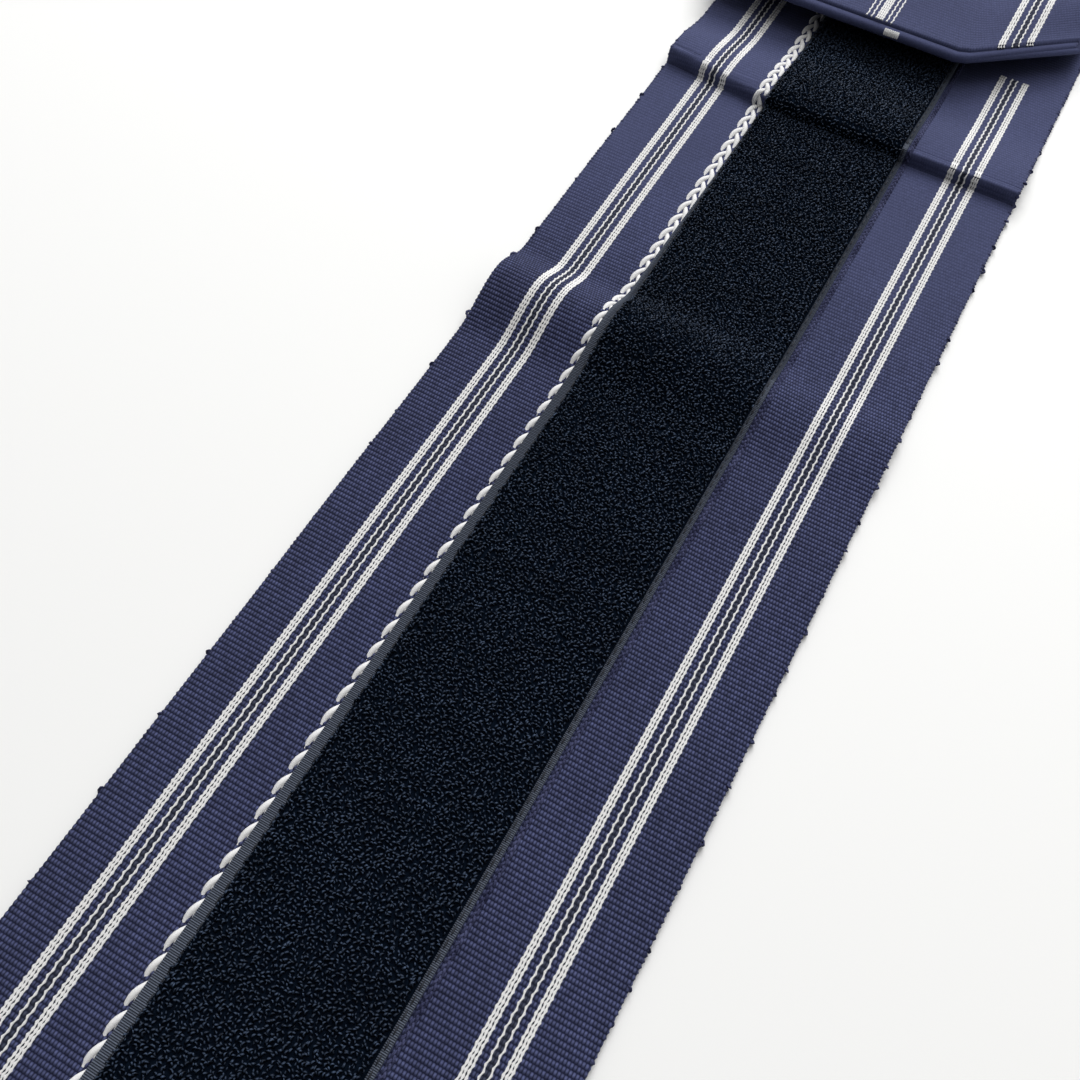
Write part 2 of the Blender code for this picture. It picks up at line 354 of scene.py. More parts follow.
def new_finish(name, roughness, sheen=0.0, shine=0.2):
    finish = bpy.data.materials.new(name)
    finish.use_nodes = True
    surface = finish.node_tree.nodes["Principled BSDF"].inputs
    surface["Roughness"].default_value = roughness
    surface["Specular IOR Level"].default_value = shine
    surface["Sheen Weight"].default_value = sheen
    surface["Sheen Roughness"].default_value = 0.6
    return finish, finish.node_tree, surface


# the warp's short floats over each weft, staggered from rib to rib like bricks
floats, given, result = new_group("warp_floats", ["Float", "Rib"], ["Height", "Tone"])
weave = put(floats, "ShaderNodeSeparateXYZ",
            _0=put(floats, "ShaderNodeUVMap", {"uv_map": "weave"}).outputs[0]).outputs
ribs_along = maths(floats, "DIVIDE", weave[1], given["Rib"])
row = maths(floats, "FLOOR", ribs_along)
shift = maths(floats, "MULTIPLY", maths(floats, "MODULO", row, 2.0), 0.5)
floats_across = maths(floats, "ADD", maths(floats, "DIVIDE", weave[0], given["Float"]), shift)
hump_across = maths(floats, "SINE", maths(floats, "MULTIPLY", maths(floats, "FRACT", floats_across), math.pi))
hump_along = maths(floats, "SINE", maths(floats, "MULTIPLY", maths(floats, "FRACT", ribs_along), math.pi))
hump = maths(floats, "MULTIPLY", maths(floats, "POWER", hump_across, 0.8),
             maths(floats, "POWER", hump_along, 0.8))
floats.links.new(hump, result["Height"])
cell = put(floats, "ShaderNodeCombineXYZ", _0=maths(floats, "FLOOR", floats_across), _1=row).outputs[0]
own_tone = put(floats, "ShaderNodeTexWhiteNoise", {"noise_dimensions": "2D"}, Vector=cell).outputs["Value"]
floats.links.new(own_tone, result["Tone"])

# fine fuzz and wide faint patches, on anything woven or spun
fuzz, given, result = new_group("fibre_fuzz", ["Fibre", "Patch"], ["Fibre", "Patch"])
spot = put(fuzz, "ShaderNodeTexCoord").outputs["Object"]
for label, detail in (("Fibre", 3.0), ("Patch", 2.0)):
    often = maths(fuzz, "DIVIDE", 1.0, given[label])
    noise = put(fuzz, "ShaderNodeTexNoise", Vector=spot, Scale=often, Detail=detail)
    fuzz.links.new(noise.outputs[0], result[label])

STRIPE_MIDDLES = (-0.0346, 0.0340)
THICK_LINE = 0.00305              # from a stripe's middle to the middle of each thick line
THIN_LINE = 0.0007
THICK_HALF, THIN_HALF = 0.0008, 0.00015
cotton, tree, surface = new_finish("navy_ribbed_cotton", 0.9, sheen=0.03, shine=0.08)
weft = placed(tree, floats, Float=0.00062, Rib=RIB)
fuzzy = placed(tree, fuzz, Fibre=0.00035, Patch=0.03)
crisp = put(tree, "ShaderNodeAttribute", {"attribute_name": "crisp"}).outputs["Fac"]
worn = maths(tree, "SUBTRACT", 1.0, crisp)
# painted shade: show makes the cloth near black in the gaps between the warp floats and navy on their tops;
# where crisp falls it gives an even navy instead
show = maths(tree, "MULTIPLY_ADD", worn, 0.75, maths(tree, "MULTIPLY", weft["Height"], crisp))
colour = blended(tree, show, (0.004, 0.005, 0.020, 1), (0.072, 0.083, 0.172, 1))
own = maths(tree, "MULTIPLY", maths(tree, "SUBTRACT", weft["Tone"], 0.5), crisp)
tone = maths(tree, "MULTIPLY_ADD", own, 0.35, 0.9)
tone = maths(tree, "MULTIPLY", tone, maths(tree, "MULTIPLY_ADD", fuzzy["Fibre"], 0.9, 0.62))
tone = maths(tree, "MULTIPLY", tone, maths(tree, "MULTIPLY_ADD", fuzzy["Patch"], 0.5, 0.75))
colour = blended(tree, 1.0, colour, tone, "MULTIPLY")
on_weave = put(tree, "ShaderNodeUVMap", {"uv_map": "weave"}).outputs[0]
u = put(tree, "ShaderNodeSeparateXYZ", _0=on_weave).outputs[0]
stripes = put(tree, "ShaderNodeAttribute", {"attribute_name": "striped"}).outputs["Fac"]
reverse = put(tree, "ShaderNodeAttribute", {"attribute_name": "reverse"}).outputs["Fac"]
# painted shade in the stripes: the charcoal ribs between the thin lines are their own colour but go near
# black in the gaps between floats; on the face the ground under each white yarn is painted near black as
# shade beneath and between the yarns; on the reverse the white lines go dark in the float gaps
for middle in STRIPE_MIDDLES:
    between = maths(tree, "COMPARE", u, middle, THIN_LINE - 0.0001)
    colour = blended(tree, maths(tree, "MULTIPLY", between, stripes), colour,
                     blended(tree, weft["Height"], (0.008, 0.010, 0.022, 1), (0.052, 0.058, 0.090, 1)))
    for place, half in ((-THICK_LINE, THICK_HALF), (-THIN_LINE, THIN_HALF), (THIN_LINE, THIN_HALF),
                        (THICK_LINE, THICK_HALF)):
        line = maths(tree, "COMPARE", u, middle + place, half)
        back_line = maths(tree, "MULTIPLY", maths(tree, "MULTIPLY", line, stripes), reverse)
        shade_under_yarn = maths(tree, "MULTIPLY", line, stripes)
        colour = blended(tree, shade_under_yarn, colour, (0.014, 0.016, 0.03, 1))
        colour = blended(tree, back_line, colour,
                         blended(tree, weft["Height"], (0.05, 0.05, 0.06, 1), (0.7, 0.69, 0.67, 1)))
tree.links.new(colour, surface["Base Color"])
height = maths(tree, "MULTIPLY_ADD", fuzzy["Fibre"], 0.25, maths(tree, "MULTIPLY", weft["Height"], crisp))
relief = put(tree, "ShaderNodeBump", Strength=0.9, Distance=0.00012, Height=height)
tree.links.new(relief.outputs[0], surface["Normal"])

# the path of each length, as the middle of the cloth
CUT_MIDDLE = 0.027
CUT_PLEAT = 0.1395
CUT_FAR = 0.290
SLANT_FROM, SLANT_TO, SLANT_DEPTH = 0.0235, 0.048, 0.024
NOSE_DROP = 0.085                 # how far the lip falls for each metre that it is set back


def near_path(u):
    """From the hem and over the soft crease, which dies away to the right."""
    peak = HALF + (soft.z - HALF) * np.interp(u, (-0.048, -0.010, 0.030), (1.0, 0.85, 0.3))
    path = turned_under(near_end, HALF + PLY, 1)
    path += eased(path[-1], (near_end + 0.028, HALF)) + [(soft.y - 0.021, HALF)]
    path += eased(path[-1], (soft.y - 0.003, peak))
    path += eased(path[-1], (soft.y + 0.0105, HALF))
    return path + [(CUT_MIDDLE, HALF)]


LEDGE = 0.0013                    # the small flat step on the far side of the sharp crease


def middle_path(u):
    """Over the sharp crease, which runs a little askew and stands highest at the left edge."""
    crest = strong.y + np.interp(u, (-0.048, -0.015), (-0.0005, -0.0043))
    peak = strong.z - np.interp(u, (-0.048, -0.030), (0.0004, 0.0011))
    path = [(CUT_MIDDLE, HALF), (crest - 0.0013, HALF)]
    path += eased(path[-1], (crest, peak))
    path += [(crest + LEDGE, peak - 0.0001), (crest + LEDGE + 0.0003, peak - 0.0004)]
    path += [(crest + LEDGE + 0.0006, peak - 0.0002)]
    path += eased(path[-1], (strong.y + 0.022, HALF))
    return path + [(CUT_PLEAT, HALF)]


radius = PLY / 2
fold_centre = fold.y - radius - HALF
under_path = [(CUT_PLEAT, HALF)]
for i in range(13):
    turn = math.pi * i / 12
    under_path.append((fold_centre + radius * math.sin(turn), HALF + radius - radius * math.cos(turn)))


def plane_at(y):
    """The height of the surface between the pleat and the far run, in which they part."""
    return lip.z - NOSE_DROP * (y - lip.y)


pleat_line = np.array(eased((fold_centre - 0.002, HALF + PLY), (lip.y, plane_at(lip.y) - radius), 60))
pleat_line[:, 1] = np.minimum(pleat_line[:, 1], plane_at(pleat_line[:, 0]) - radius)
pleat_cut = float(np.interp(CUT_PLEAT, pleat_line[::-1, 0], pleat_line[::-1, 1]))
under_path += [tuple(p) for p in pleat_line if p[0] > CUT_PLEAT] + [(CUT_PLEAT, pleat_cut)]


def lip_path(u):
    """Up the pleat, round the lip and along the far run; the lip's right corner slants back."""
    slant = min(max((u - SLANT_FROM) / (SLANT_TO - SLANT_FROM), 0), 1)
    nose = lip.y + SLANT_DEPTH * slant
    pleat = [(CUT_PLEAT, pleat_cut)]
    pleat += [tuple(p) for p in pleat_line if nose + 0.0008 < p[0] < CUT_PLEAT]
    run = []
    for i in range(13):
        turn = math.pi * i / 12
        point = (nose - radius * math.sin(turn), plane_at(nose) - radius * math.cos(turn))
        (pleat if i <= 6 else run).append(point)
    run.insert(0, pleat[-1])
    hump = lip.z + 0.00175
    top = plane_at(nose) + radius
    run += [(nose + 0.0008, top), (nose + 0.0012, top - 0.0004), (nose + 0.0018, top + 0.0007)]
    run += eased(run[-1], (lip.y + 0.022 + 0.8 * SLANT_DEPTH * slant, hump), 12)
    run += eased(run[-1], (0.215, HALF), 30)
    return pleat, run + [(CUT_FAR, HALF)]


far_path = [(CUT_FAR, HALF), (hook.y - 0.015, HALF)]
far_path += eased(far_path[-1], (hook.y, hook.z))
far_path += turned_under(far_end, hook.z, -1)[::-1]


def straight(y):
    return 0.0 * y


SWAY = 0.0037                     # how far the pleat and the far run lean to the left at the lip


def pleat_sway(y):
    return -SWAY * np.clip((fold.y - y) / (fold.y - lip.y), 0, 1)


def far_sway(y):
    share = np.clip((y - lip.y) / 0.25, 0, 1)
    return -SWAY * (1 - share ** 2 * (3 - 2 * share))


def lip_sway(y):
    """The pleat and the far run sway alike at the lip, so the rows ahead of it follow the pleat."""
    turn_row = np.argmin(y, axis=0)
    after = np.arange(len(y))[:, None] > turn_row
    return np.where(after, far_sway(y), pleat_sway(y))


near_cloth = laid(0, straight, [near_path(u) for u in STATIONS])
middle_cloth = laid(near_cloth["along"][-1], straight, [middle_path(u) for u in STATIONS])
under_cloth = laid(middle_cloth["along"][-1], pleat_sway, under_path)
pleat_side, run_side = zip(*(lip_path(u) for u in STATIONS))
lip_cloth = laid(under_cloth["along"][-1], lip_sway, pleat_side, run_side)
far_cloth = laid(lip_cloth["along"][-1], far_sway, far_path)
cloths = {"near": near_cloth, "middle": middle_cloth, "under": under_cloth, "lip": lip_cloth,
          "far": far_cloth}
for cloth in cloths.values():
    cloth["facing"] = facing(cloth)
    cloth["eased_facing"] = eased_facing(cloth)


def along_at(cloth, y):
    """The place along the cloth's face-up ply that lies at y on the centre line."""
    place = cloth["grid"][:, MIDDLE_STATION, 1]
    upper = np.gradient(place) > 0
    return float(np.interp(y, place[upper], cloth["along"][upper]))


STRIPES_END = along_at(middle_cloth, 0.1125)
NOSE = float(lip_cloth["along"][np.argmin(lip_cloth["grid"][:, MIDDLE_STATION, 1])])
STRIPES_START = NOSE + 0.0033
STRIPES_LAST = along_at(far_cloth, far_end - 0.0012)


def finished(piece, stands_for=()):
    """The piece with its transform baked into its points, and the model's parts that it stands for hidden."""
    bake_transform(piece)
    if stands_for:
        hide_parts(*stands_for)
    return piece


FADE_FROM, FADE_OVER = 0.135, 0.06    # the ribs grow worn over this much cloth ahead of the stripes' end


def band_length(name, cloth, stands_for):
    rim = np.clip((np.abs(STATIONS) - 0.046) / 0.002, 0, 1)
    half_body = (BODY / 2 * (1 - 0.35 * rim ** 2))[:, None]
    along = np.broadcast_to(cloth["along"][:, None], cloth["grid"].shape[:2])
    place = np.stack([np.broadcast_to(STATIONS, along.shape), along], 2)
    crisp = 1 - 0.75 * np.clip((along - STRIPES_END + FADE_FROM) / FADE_OVER, 0, 1)
    crisp = crisp * np.clip(np.abs(along - NOSE) / 0.004, 0, 1)
    striped = ((along < STRIPES_END) | ((along > STRIPES_START) & (along < STRIPES_LAST))) * 1.0
    stand = cloth["facing"] * half_body
    piece = slab(name, cloth["grid"] + stand, cloth["grid"] - stand, place, crisp=(crisp, crisp),
                 striped=(striped, striped), reverse=(0 * crisp, 0 * crisp + 1))
    piece = grown(piece, ribs, Spacing=RIB, Rise=RIB_RISE, Material=cotton)
    piece.data.set_sharp_from_angle(angle=math.radians(70))
    finished(piece, stands_for)


band_length("band_near_length", near_cloth, ["band_near_run"])
band_length("band_middle_length", middle_cloth, ["band_middle"])
band_length("band_under_length", under_cloth, ["band_far_panel"])
band_length("band_lip_length", lip_cloth, ["band_pleat_ply", "band_far_run"])
band_length("band_far_length", far_cloth, ["band_hook_end"])

# ------------------------------------------------------------------------- white stripes
# White warp yarns woven in with the navy: a thick line of three yarns on each side of a stripe
# and two thin lines between them. A yarn steps to one side and then the other from rib to rib.
YARN = 0.00029
FINE_YARN = 0.00021
strand, given, result = new_tree("laid_strand", Swing="Float", Rise="Float", Thickness="Float", Swell="Float",
                                 Lead="Float", Overs="Float", Sides="Int", Material="Material")
turn = field(strand, "turn")
over = maths(strand, "MULTIPLY", turn, given["Overs"])
aside = put(strand, "ShaderNodeCombineXYZ",
            _0=maths(strand, "MULTIPLY", maths(strand, "COSINE", turn), given["Swing"])).outputs[0]
above = scaled(strand, field(strand, "up", "FLOAT_VECTOR"),
               maths(strand, "MULTIPLY", maths(strand, "SINE", over), given["Rise"]))
rope = put(strand, "GeometryNodeMeshToCurve", Mesh=given["Geometry"]).outputs[0]
rope = put(strand, "GeometryNodeSetPosition", Geometry=rope, Offset=added(strand, aside, above)).outputs[0]
lead = maths(strand, "COSINE", maths(strand, "ADD", over, given["Lead"]))
girth = maths(strand, "MULTIPLY_ADD", maths(strand, "MULTIPLY", lead, given["Swell"]), given["Thickness"],
              given["Thickness"])
ring = put(strand, "GeometryNodeCurvePrimitiveCircle", Resolution=given["Sides"], Radius=1.0).outputs[0]
tube = put(strand, "GeometryNodeCurveToMesh", Curve=rope, Profile_Curve=ring, Scale=girth,
           Fill_Caps=True).outputs[0]
dressed = put(strand, "GeometryNodeSetMaterial", Geometry=tube, Material=given["Material"])
strand.links.new(dressed.outputs[0], result[0])


def lines_on(name, cloth, lines):
    """Open lines on the cloth, each as its places along, its u, its lift and its turn."""
    points, ups, turns, edges = [], [], [], []
    count = 0
    for along, u, lift, turn in lines:
        spots, out = on_cloth(cloth, along, u + 0 * along, lift + 0 * along)
        points.append(spots)
        ups.append(out)
        turns.append(turn + 0 * along)
        edges += [(count + i, count + i + 1) for i in range(len(along) - 1)]
        count += len(along)
    return as_piece(name, np.concatenate(points), edges, [], up=np.concatenate(ups),
                    turn=np.concatenate(turns))


def half_ribs(cloth, first, last):
    """The valleys and crests of the ribs between two places along."""
    low = math.ceil(max(first, cloth["along"][0]) / (RIB / 2) - 1e-6)
    high = math.floor(min(last, cloth["along"][-1]) / (RIB / 2) + 1e-6)
    return np.arange(low, high + 1) * RIB / 2


def yarn_lines(cloth, offsets, first, last, sunk):
    """White yarns beside each other: they ride over the crests and sink a little in the valleys."""
    along = half_ribs(cloth, first, last)
    crest = np.abs(np.sin(np.pi * along / RIB))
    lift = HALF - sunk + 0.0002 * crest
    step = np.pi * along / RIB - np.pi / 2
    return [(along, u, lift, step) for u in offsets]


cream, tree, surface = new_finish("white_yarn", 0.8, sheen=0.1, shine=0.2)
fuzzy = placed(tree, fuzz, Fibre=0.0002, Patch=0.004)
colour = blended(tree, fuzzy["Fibre"], (0.58, 0.58, 0.59, 1), (0.93, 0.92, 0.90, 1))
tree.links.new(colour, surface["Base Color"])
relief = put(tree, "ShaderNodeBump", Strength=0.6, Distance=0.00008, Height=fuzzy["Fibre"])
tree.links.new(relief.outputs[0], surface["Normal"])

thick_places, thin_places = [], []
for middle in STRIPE_MIDDLES:
    for side in (-1, 1):
        thick_places += [middle + side * (THICK_LINE + step) for step in (-0.00056, 0.00004, 0.00056)]
        thin_places.append(middle + side * THIN_LINE)
middle_thick = [-0.0008, -0.00027, 0.00027, 0.0008]
middle_thin = [-0.0034, -0.0021, 0.0021, 0.0034]


def white_yarns(name, cloth, first, last, thick, thin):
    for label, places, girth, swing, sunk in (("thick", thick, YARN, 0.00007, 0.00027),
                                              ("thin", thin, FINE_YARN, 0.00013, 0.00017)):
        piece = lines_on(name + "_" + label, cloth, yarn_lines(cloth, places, first, last, sunk))
        piece = grown(piece, strand, Swing=swing, Rise=0.0, Thickness=girth, Swell=0.22, Lead=0.0,
                      Overs=2.0, Sides=5, Material=cream)
        finished(piece)


white_yarns("yarn_near", near_cloth, HEM, 9, thick_places, thin_places)
white_yarns("yarn_middle", middle_cloth, -1, STRIPES_END, thick_places, thin_places)
upper_thick, upper_thin = thick_places + middle_thick, thin_places + middle_thin
white_yarns("yarn_lip", lip_cloth, STRIPES_START, 9, upper_thick, upper_thin)
white_yarns("yarn_far", far_cloth, -1, STRIPES_LAST, upper_thick, upper_thin)

# a short white block woven into the turn of the lip, beside the middle stripe
block = yarn_lines(lip_cloth, np.arange(0.0028, 0.0068, 0.0005), NOSE - 0.0004, NOSE + 0.0012, 0.0002)
piece = grown(lines_on("yarn_block", lip_cloth, block), strand, Swing=0.0, Rise=0.0, Thickness=YARN,
              Swell=0.1, Lead=0.0, Overs=2.0, Sides=5, Material=cream)
finished(piece)

# ---------------------------------------------------------------------------- selvedges
# Each weft turns back at the edge round the outermost warp, and leaves a small bead there. Here
# and there the weft was slack, and stands out of the edge as a tiny loop.
beads, given, result = new_tree("thread_beads", Across="Float", Run="Float", Rise="Float", Turn="Float",
                                Vary="Float", Seed="Int", Material="Material")
ball = put(beads, "GeometryNodeMeshUVSphere", Segments=6, Rings=4, Radius=0.5).outputs[0]
size = put(beads, "ShaderNodeCombineXYZ", _0=given["Across"], _1=given["Run"], _2=given["Rise"]).outputs[0]
ball = put(beads, "GeometryNodeTransform", Geometry=ball, Scale=size).outputs[0]
up = field(beads, "up", "FLOAT_VECTOR")
ahead = put(beads, "ShaderNodeVectorMath", {"operation": "CROSS_PRODUCT"}, _0=up, _1=(1, 0, 0)).outputs[0]
stood = put(beads, "FunctionNodeAlignRotationToVector", {"axis": "Z"}, Vector=up).outputs[0]
stood = put(beads, "FunctionNodeAlignRotationToVector", {"axis": "Y", "pivot_axis": "Z"},
            Rotation=stood, Vector=ahead).outputs[0]
spin = put(beads, "FunctionNodeAxisAngleToRotation", Axis=(0, 0, 1), Angle=given["Turn"]).outputs[0]
stood = put(beads, "FunctionNodeRotateRotation", {"rotation_space": "LOCAL"}, _0=stood, _1=spin).outputs[0]
grow = put(beads, "FunctionNodeRandomValue", {"data_type": "FLOAT"},
           _2=maths(beads, "SUBTRACT", 1.0, given["Vary"]), _3=maths(beads, "ADD", 1.0, given["Vary"]),
           Seed=given["Seed"]).outputs[1]
row = put(beads, "GeometryNodeInstanceOnPoints", Points=given["Geometry"], Instance=ball, Rotation=stood,
          Scale=grow).outputs[0]
row = put(beads, "GeometryNodeRealizeInstances", Geometry=row).outputs[0]
dressed = put(beads, "GeometryNodeSetMaterial", Geometry=row, Material=given["Material"])
beads.links.new(dressed.outputs[0], result[0])

loops, given, result = new_tree("standing_loops", Width="Float", Height="Float", Thickness="Float",
                                Sweep="Float", Scatter="Float", Lean="Float", Vary="Float", Seed="Int",
                                Material="Material")
start = maths(loops, "MULTIPLY", maths(loops, "SUBTRACT", math.pi, given["Sweep"]), 0.5)
arc = put(loops, "GeometryNodeCurveArc", {"mode": "RADIUS"}, Resolution=5, Radius=1.0, Start_Angle=start,
          Sweep_Angle=given["Sweep"]).outputs[0]
size = put(loops, "ShaderNodeCombineXYZ", _0=maths(loops, "MULTIPLY", given["Width"], 0.5),
           _1=given["Height"], _2=1.0).outputs[0]
arc = put(loops, "GeometryNodeTransform", Geometry=arc, Scale=size, Rotation=(math.pi / 2, 0, 0)).outputs[0]
ring = put(loops, "GeometryNodeCurvePrimitiveCircle", Resolution=3, Radius=given["Thickness"]).outputs[0]
arc = put(loops, "GeometryNodeCurveToMesh", Curve=arc, Profile_Curve=ring, Fill_Caps=True).outputs[0]
# tip: how high up its loop a point stands, which the nylon finish uses for its painted shade and highlight
climb = put(loops, "ShaderNodeSeparateXYZ", _0=put(loops, "GeometryNodeInputPosition").outputs[0]).outputs[2]
arc = put(loops, "GeometryNodeStoreNamedAttribute", {"data_type": "FLOAT", "domain": "POINT"}, Geometry=arc,
          Name="tip", Value=maths(loops, "DIVIDE", climb, given["Height"])).outputs[0]
stood = put(loops, "FunctionNodeAlignRotationToVector", {"axis": "Z"},
            Vector=field(loops, "up", "FLOAT_VECTOR")).outputs[0]
for axis, limit, offset in (((0, 0, 1), "Scatter", 0), ((1, 0, 0), "Lean", 1), ((0, 1, 0), "Lean", 2)):
    seed = maths(loops, "ADD", given["Seed"], offset)
    angle = put(loops, "FunctionNodeRandomValue", {"data_type": "FLOAT"},
                _2=maths(loops, "MULTIPLY", given[limit], -1.0), _3=given[limit], Seed=seed).outputs[1]
    tilt = put(loops, "FunctionNodeAxisAngleToRotation", Axis=axis, Angle=angle).outputs[0]
    stood = put(loops, "FunctionNodeRotateRotation", {"rotation_space": "LOCAL"}, _0=stood,
                _1=tilt).outputs[0]
grow = put(loops, "FunctionNodeRandomValue", {"data_type": "FLOAT"},
           _2=maths(loops, "SUBTRACT", 1.0, given["Vary"]), _3=maths(loops, "ADD", 1.0, given["Vary"]),
           Seed=given["Seed"]).outputs[1]
field_of = put(loops, "GeometryNodeInstanceOnPoints", Points=given["Geometry"], Instance=arc, Rotation=stood,
               Scale=grow).outputs[0]
field_of = put(loops, "GeometryNodeRealizeInstances", Geometry=field_of).outputs[0]
dressed = put(loops, "GeometryNodeSetMaterial", Geometry=field_of, Material=given["Material"])
loops.links.new(dressed.outputs[0], result[0])


def thread_finish(name, dark, light, roughness, shine):
    """Spun thread: an uneven colour between dark and light, with a fine fuzz."""
    finish, tree, surface = new_finish(name, roughness, shine=shine)
    fuzzy = placed(tree, fuzz, Fibre=0.0003, Patch=0.006)
    shade = maths(tree, "MULTIPLY_ADD", maths(tree, "ADD", fuzzy["Fibre"], fuzzy["Patch"]), 2.2, -1.7)
    clear = put(tree, "ShaderNodeClamp", Value=shade).outputs[0]
    tree.links.new(blended(tree, clear, dark, light), surface["Base Color"])
    relief = put(tree, "ShaderNodeBump", Strength=0.5, Distance=0.00006, Height=fuzzy["Fibre"])
    tree.links.new(relief.outputs[0], surface["Normal"])
    return finish


navy_yarn = thread_finish("navy_yarn", (0.014, 0.016, 0.044, 1), (0.062, 0.068, 0.140, 1), 0.85, 0.12)
EDGE = 0.0477
NO_LOOPS = 0.034                  # no loops stand out this near the pleat's middle, where plies meet
slack = np.random.default_rng(7)
for name, cloth in cloths.items():
    crests = np.arange(cloth["along"][0] + RIB / 2, cloth["along"][-1], RIB)
    edges = [(crests, side * EDGE, 0.0, 0.0) for side in (-1, 1)]
    piece = grown(lines_on("weft_turns_" + name, cloth, edges), beads, Across=0.0011, Run=0.00098,
                  Rise=0.00092, Turn=0.0, Vary=0.24, Seed=3, Material=navy_yarn)
    finished(piece)
    points, outward = [], []
    for side, gap in ((1, (0.005, 0.013)), (-1, (0.009, 0.022))):
        places = cloth["along"][0] + np.cumsum(slack.uniform(*gap, 120))
        places = places[places < cloth["along"][-1] - RIB]
        spots = on_cloth(cloth, places, side * (EDGE + 0.0001), 0.0)[0]
        spots = spots[np.abs(spots[:, 1] - PLEAT_MIDDLE) > NO_LOOPS]
        points.append(spots)
        outward.append(np.tile((side, 0.0, 0.15), (len(spots), 1)))
    if not any(len(spots) for spots in points):       # a length that lies wholly in the pleat
        continue
    piece = as_piece("slack_picots_" + name, np.concatenate(points), [], [], up=np.concatenate(outward))
    piece = grown(piece, loops, Width=0.0011, Height=0.00062, Thickness=0.00030, Sweep=math.pi, Scatter=1.6,
                  Lean=0.3, Vary=0.3, Seed=5, Material=navy_yarn)
    finished(piece)

# ------------------------------------------------------------------------ plaited cords
# A thick white cord of three plaited strands runs beside the tape's left edge, which covers half
# of it, and a thin navy one runs beside the right edge. Both are laid in with the warp.
WHITE_CORD = -0.0207
UPPER_WHITE_CORD = -0.0246
NAVY_CORD = 0.0199


def plait(name, cloth, span, u, first, last, pitch, lift, material, **sizes):
    first, last = max(first, cloth["along"][0]), min(last, cloth["along"][-1])
    along = np.linspace(first, last, round((last - first) / pitch * 20) + 1)
    turn = 2 * np.pi * along / pitch
    piece = lines_on(name, cloth, [(along, u, lift, turn + start * 2 * np.pi / 3) for start in range(3)])
    piece = grown(piece, strand, Lead=-math.pi / 2, Overs=2.0, Material=material, **sizes)
    return finished(piece)


white_sizes = {"Swing": 0.00112, "Rise": 0.00024, "Thickness": 0.00056, "Swell": 0.25, "Sides": 8}
navy_sizes = {"Swing": 0.00032, "Rise": 0.00014, "Thickness": 0.00026, "Swell": 0.2, "Sides": 5}
for name, u, first, last in (
        ("near", WHITE_CORD, HEM, 9), ("middle", WHITE_CORD, -1, 9),
        ("lip", UPPER_WHITE_CORD, STRIPES_START, 9), ("far", UPPER_WHITE_CORD, -1, STRIPES_LAST)):
    plait("white_cord_" + name, cloths[name], name, u, first, last, 0.0153, 0.00024, cream, **white_sizes)
for name in ("near", "middle"):
    plait("navy_cord_" + name, cloths[name], name, NAVY_CORD, HEM, 9, 0.0042, 0.00054, navy_yarn,
          **navy_sizes)

# ---------------------------------------------------------------------------- loop tape
# Black nylon tape, 40 mm wide, sewn along the middle of the face: a dense field of soft loops
# with a finely ribbed grey selvedge on each side. The left one tucks in towards the far end.
tape_near_low, tape_near_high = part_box("loop_tape_near")
tape_far_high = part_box("loop_tape_far")[1]
TAPE_START = tape_near_low[1]
TAPE_END = tape_far_high[1]
TAPE_LEFT, TAPE_RIGHT = tape_near_low[0] + 0.0001, tape_near_high[0] - 0.0001
PILE_LEFT, PILE_RIGHT = -0.0184, 0.0177
TUCK, TUCK_START, TUCK_OVER = 0.0019, -0.05, 0.12
BARE_END = 0.0020
SELVEDGE_RIB = 0.00038
LOOP_ROW, LOOP_COLUMN = 0.00074, 0.00078
GROUND_LOW, GROUND_TOP, BED_TOP, LOOP_FOOT = 0.00066, 0.00125, 0.0019, 0.00185

grey, tree, surface = new_finish("grey_ribbed_selvedge", 0.8, shine=0.15)
fuzzy = placed(tree, fuzz, Fibre=0.00025, Patch=0.012)
fine_rib = placed(tree, floats, Float=0.05, Rib=SELVEDGE_RIB)
# the fibre fuzz gives the thread's own uneven tone, and the fine rib height paints the valleys between the
# ribs darker as painted shade
shade = maths(tree, "MULTIPLY_ADD", fuzzy["Fibre"], 0.5, maths(tree, "MULTIPLY", fine_rib["Height"], 0.6))
colour = blended(tree, shade, (0.020, 0.024, 0.034, 1), (0.115, 0.134, 0.178, 1))
tree.links.new(colour, surface["Base Color"])
black, tree, surface = new_finish("black_pile_bed", 0.95, shine=0.0)
fuzzy = placed(tree, fuzz, Fibre=0.0004, Patch=0.02)
colour = blended(tree, fuzzy["Fibre"], (0.0006, 0.0014, 0.004, 1), (0.005, 0.009, 0.017, 1))
tree.links.new(colour, surface["Base Color"])
relief = put(tree, "ShaderNodeBump", Strength=0.8, Distance=0.0002, Height=fuzzy["Fibre"])
tree.links.new(relief.outputs[0], surface["Normal"])
nylon, tree, surface = new_finish("black_loop_nylon", 0.5, shine=0.14)
fuzzy = placed(tree, fuzz, Fibre=0.0008, Patch=0.014)
# painted light: each loop runs from near black at its foot to blue grey at its tip, painted shade deep in the
# pile and a painted highlight on the tips, broken up by the fibre noise
tip = put(tree, "ShaderNodeAttribute", {"attribute_name": "tip"}).outputs["Fac"]
shade = maths(tree, "MULTIPLY", maths(tree, "POWER", maths(tree, "MAXIMUM", tip, 0.0), 2.0),
              maths(tree, "MULTIPLY_ADD", fuzzy["Fibre"], 2.0, -0.5))
clear = put(tree, "ShaderNodeClamp", Value=shade).outputs[0]
colour = blended(tree, clear, (0.001, 0.002, 0.005, 1), (0.046, 0.070, 0.120, 1))
patches = blended(tree, fuzzy["Patch"], (0.35, 0.35, 0.35, 1), (1.6, 1.6, 1.6, 1))
colour = blended(tree, 0.6, colour, patches, "MULTIPLY")
